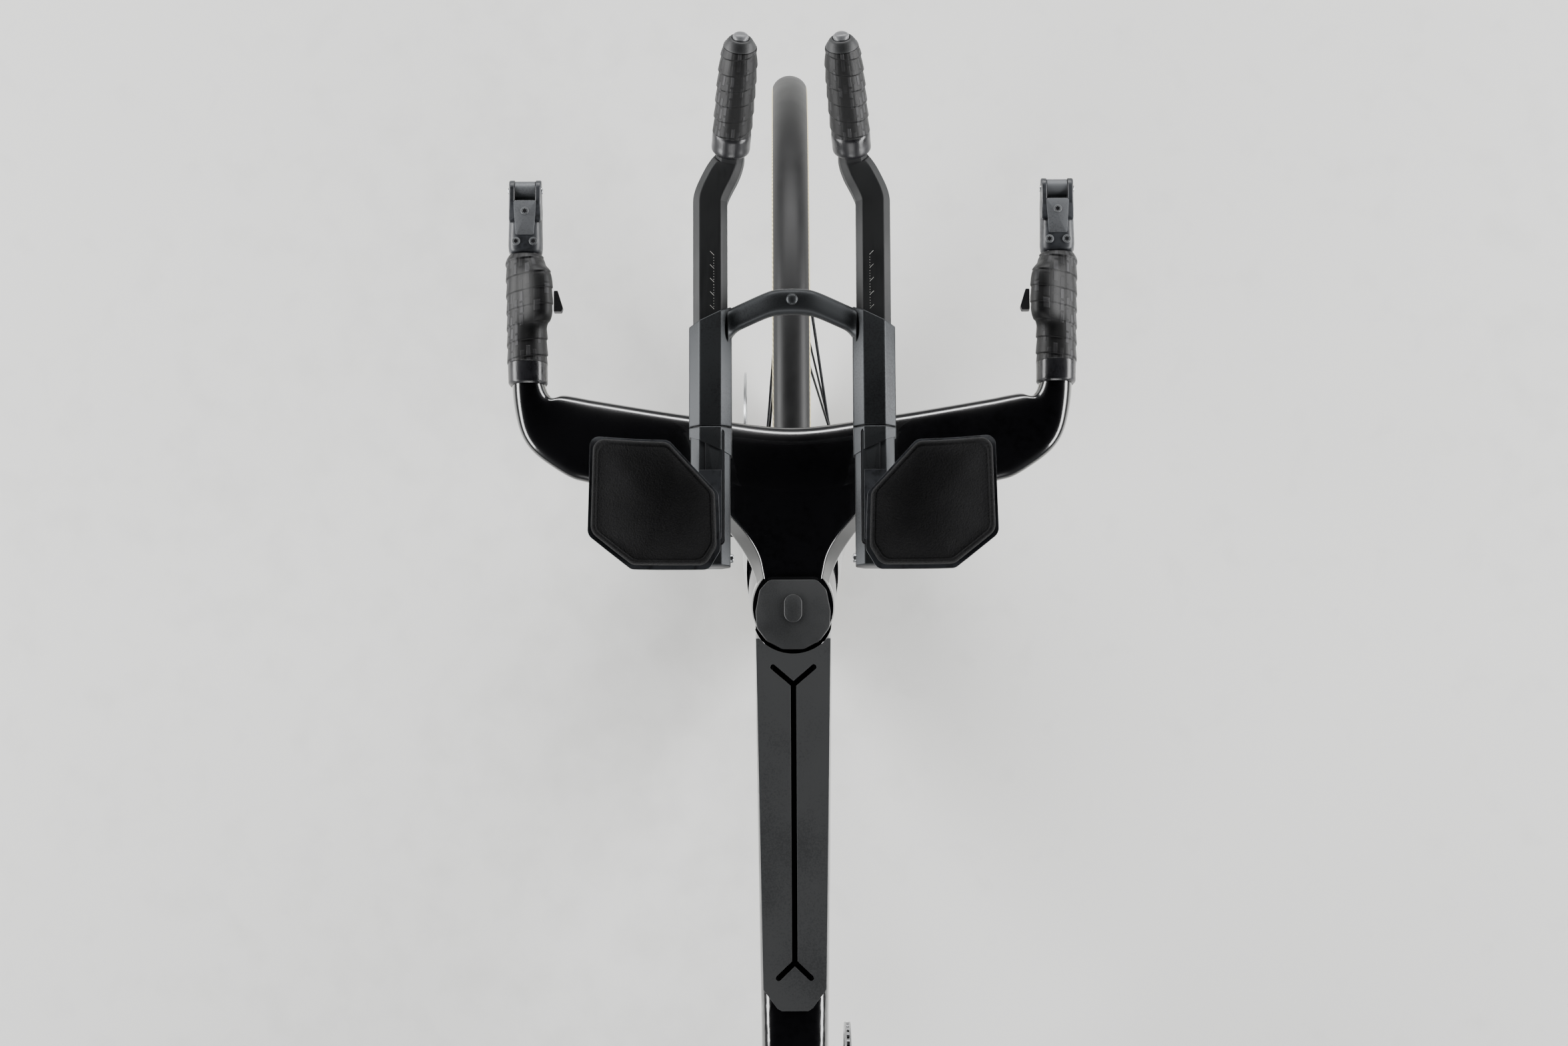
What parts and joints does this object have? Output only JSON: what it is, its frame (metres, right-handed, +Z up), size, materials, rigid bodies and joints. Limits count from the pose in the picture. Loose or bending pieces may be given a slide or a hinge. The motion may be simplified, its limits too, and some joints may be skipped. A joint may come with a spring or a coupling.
{
  "type": "time trial bike",
  "caption": "Time trial bike with disc rear wheel, deep front wheel, wing base bar, arm pads on risers, angled extensions with shift buttons, disc brakes and top tube storage.",
  "frame": {"origin": "on the ground midway between the wheel axles, in the bike's middle plane", "axes": "+X forward, +Y to the rider's left, +Z up"},
  "size_m": [1.6818, 0.4308, 1.0087],
  "materials": {
    "gloss_carbon": "gloss",
    "matte_carbon": "matte",
    "satin_grey": "satin",
    "tyre_black": "matte",
    "black_alloy": "satin",
    "black_moulding": "satin",
    "black_rubber": "matte",
    "wrap_tape": "matte",
    "pad_fabric": "matte",
    "saddle_cover": "matte",
    "bright_steel": "brushed",
    "black_steel": "satin"
  },
  "bodies": {
    "frame": {"main_frame": "gloss_carbon", "derailleur_hanger": "black_alloy", "frame_bearings": "bright_steel", "storage_tray": "black_moulding", "storage_cover": "black_rubber", "seatpost_clamp": "black_alloy", "rear_axle": "black_alloy", "rear_brake_caliper": "black_alloy", "derailleur_body": "black_alloy", "chain": "bright_steel"},
    "seatpost": {"seatpost": "matte_carbon", "saddle_clamp": "black_alloy", "saddle_rails": "bright_steel", "saddle_shell": "matte_carbon", "saddle_pad": "saddle_cover"},
    "steering": {"fork": "gloss_carbon", "stem": "gloss_carbon", "base_bar": "gloss_carbon", "stem_cap": "black_moulding", "stem_cap_plug": "black_alloy", "arm_rails": "gloss_carbon", "bridge_clamp": "satin_grey", "bridge_plug": "black_alloy", "arm_cups": "matte_carbon", "arm_pads": "pad_fabric", "brake_bodies": "black_moulding", "brake_body_screws": "black_steel", "bar_tapes": "wrap_tape", "front_axle": "black_alloy", "front_brake_caliper": "black_alloy"},
    "left_extension": {"left_extension": "matte_carbon", "left_extension_tape": "wrap_tape", "left_shift_cap": "black_moulding"},
    "right_extension": {"right_extension": "matte_carbon", "right_extension_tape": "wrap_tape", "right_shift_cap": "black_moulding"},
    "left_shift_button": {"left_shift_button": "black_rubber"},
    "right_shift_button": {"right_shift_button": "black_rubber"},
    "left_shift_paddle": {"left_shift_paddle": "black_moulding"},
    "right_shift_paddle": {"right_shift_paddle": "black_moulding"},
    "left_brake_lever": {"left_brake_lever": "black_moulding"},
    "right_brake_lever": {"right_brake_lever": "black_moulding"},
    "front_wheel": {"front_tyre": "tyre_black", "front_rim": "matte_carbon", "front_spokes": "black_steel", "front_hub": "black_alloy", "front_rotor": "bright_steel"},
    "rear_wheel": {"rear_tyre": "tyre_black", "rear_disc": "matte_carbon", "rear_hub": "black_alloy", "rear_rotor": "bright_steel"},
    "cassette": {"cassette": "bright_steel"},
    "crank": {"right_crank": "matte_carbon", "left_crank": "matte_carbon", "chainring": "black_alloy", "pedal_spindles": "bright_steel"},
    "left_pedal": {"left_pedal": "black_moulding"},
    "right_pedal": {"right_pedal": "black_moulding"},
    "upper_jockey": {"upper_jockey": "black_moulding"},
    "lower_jockey": {"lower_jockey": "black_moulding"}
  },
  "joints": [
    {"name": "steering_turn", "type": "hinge", "parent": "frame", "child": "steering", "pos_m": [0.45892, 0, 0.32584], "axis": [-0.2924, 0, 0.9563], "range_deg": [-40, 40]},
    {"name": "seatpost_slide", "type": "slide", "parent": "frame", "child": "seatpost", "axis": [-0.1736, 0, 0.9848], "range_m": [-0.03, 0.04]},
    {"name": "front_wheel_spin", "type": "hinge", "parent": "steering", "child": "front_wheel", "pos_m": [0.50196, 0, 0.339], "axis": [0, 1, 0], "continuous": true},
    {"name": "rear_wheel_spin", "type": "hinge", "parent": "frame", "child": "rear_wheel", "pos_m": [-0.50196, 0, 0.339], "axis": [0, 1, 0], "continuous": true},
    {"name": "crank_spin", "type": "hinge", "parent": "frame", "child": "crank", "pos_m": [-0.09798, 0, 0.269], "axis": [0, 1, 0], "continuous": true, "deforming": ["chain"]},
    {"name": "cassette_spin", "type": "hinge", "parent": "frame", "child": "cassette", "pos_m": [-0.50196, 0, 0.339], "axis": [0, 1, 0], "continuous": true},
    {"name": "upper_jockey_spin", "type": "hinge", "parent": "frame", "child": "upper_jockey", "pos_m": [-0.48796, -0.047, 0.241], "axis": [0, 1, 0], "continuous": true},
    {"name": "lower_jockey_spin", "type": "hinge", "parent": "frame", "child": "lower_jockey", "pos_m": [-0.44842, -0.047, 0.16238], "axis": [0, 1, 0], "continuous": true},
    {"name": "right_pedal_spin", "type": "hinge", "parent": "crank", "child": "right_pedal", "pos_m": [-0.09798, -0.105, 0.099], "axis": [0, 1, 0], "continuous": true},
    {"name": "left_pedal_spin", "type": "hinge", "parent": "crank", "child": "left_pedal", "pos_m": [-0.09798, 0.105, 0.439], "axis": [0, 1, 0], "continuous": true},
    {"name": "left_extension_slide", "type": "slide", "parent": "steering", "child": "left_extension", "axis": [1, 0, 0], "range_m": [-0.035, 0.03]},
    {"name": "left_shift_button_press", "type": "slide", "parent": "left_extension", "child": "left_shift_button", "axis": [-0.7164, 0.0907, -0.6918], "range_m": [0, 0.0018], "stiffness_N_per_m": 500, "springref_m": -0.002},
    {"name": "left_shift_paddle_press", "type": "slide", "parent": "steering", "child": "left_shift_paddle", "axis": [0, 1, 0], "range_m": [0, 0.002], "stiffness_N_per_m": 500, "springref_m": -0.002},
    {"name": "left_brake_lever_pull", "type": "hinge", "parent": "steering", "child": "left_brake_lever", "pos_m": [0.62434, 0.2005, 0.836], "axis": [0, 1, 0], "range_deg": [0, 17], "stiffness_Nm_per_rad": 1.5, "springref_deg": -11.46},
    {"name": "right_extension_slide", "type": "slide", "parent": "steering", "child": "right_extension", "axis": [1, 0, 0], "range_m": [-0.035, 0.03]},
    {"name": "right_shift_button_press", "type": "slide", "parent": "right_extension", "child": "right_shift_button", "axis": [-0.7164, -0.0907, -0.6918], "range_m": [0, 0.0018], "stiffness_N_per_m": 500, "springref_m": -0.002},
    {"name": "right_shift_paddle_press", "type": "slide", "parent": "steering", "child": "right_shift_paddle", "axis": [0, -1, 0], "range_m": [0, 0.002], "stiffness_N_per_m": 500, "springref_m": -0.002},
    {"name": "right_brake_lever_pull", "type": "hinge", "parent": "steering", "child": "right_brake_lever", "pos_m": [0.62434, -0.2005, 0.836], "axis": [0, 1, 0], "range_deg": [0, 17], "stiffness_Nm_per_rad": 1.5, "springref_deg": -11.46}
  ],
  "couplings": [
    {"joint": "cassette_spin", "follows": "crank_spin", "ratio": 3.375},
    {"joint": "upper_jockey_spin", "follows": "crank_spin", "ratio": -4.5},
    {"joint": "lower_jockey_spin", "follows": "crank_spin", "ratio": 3.8571}
  ]
}
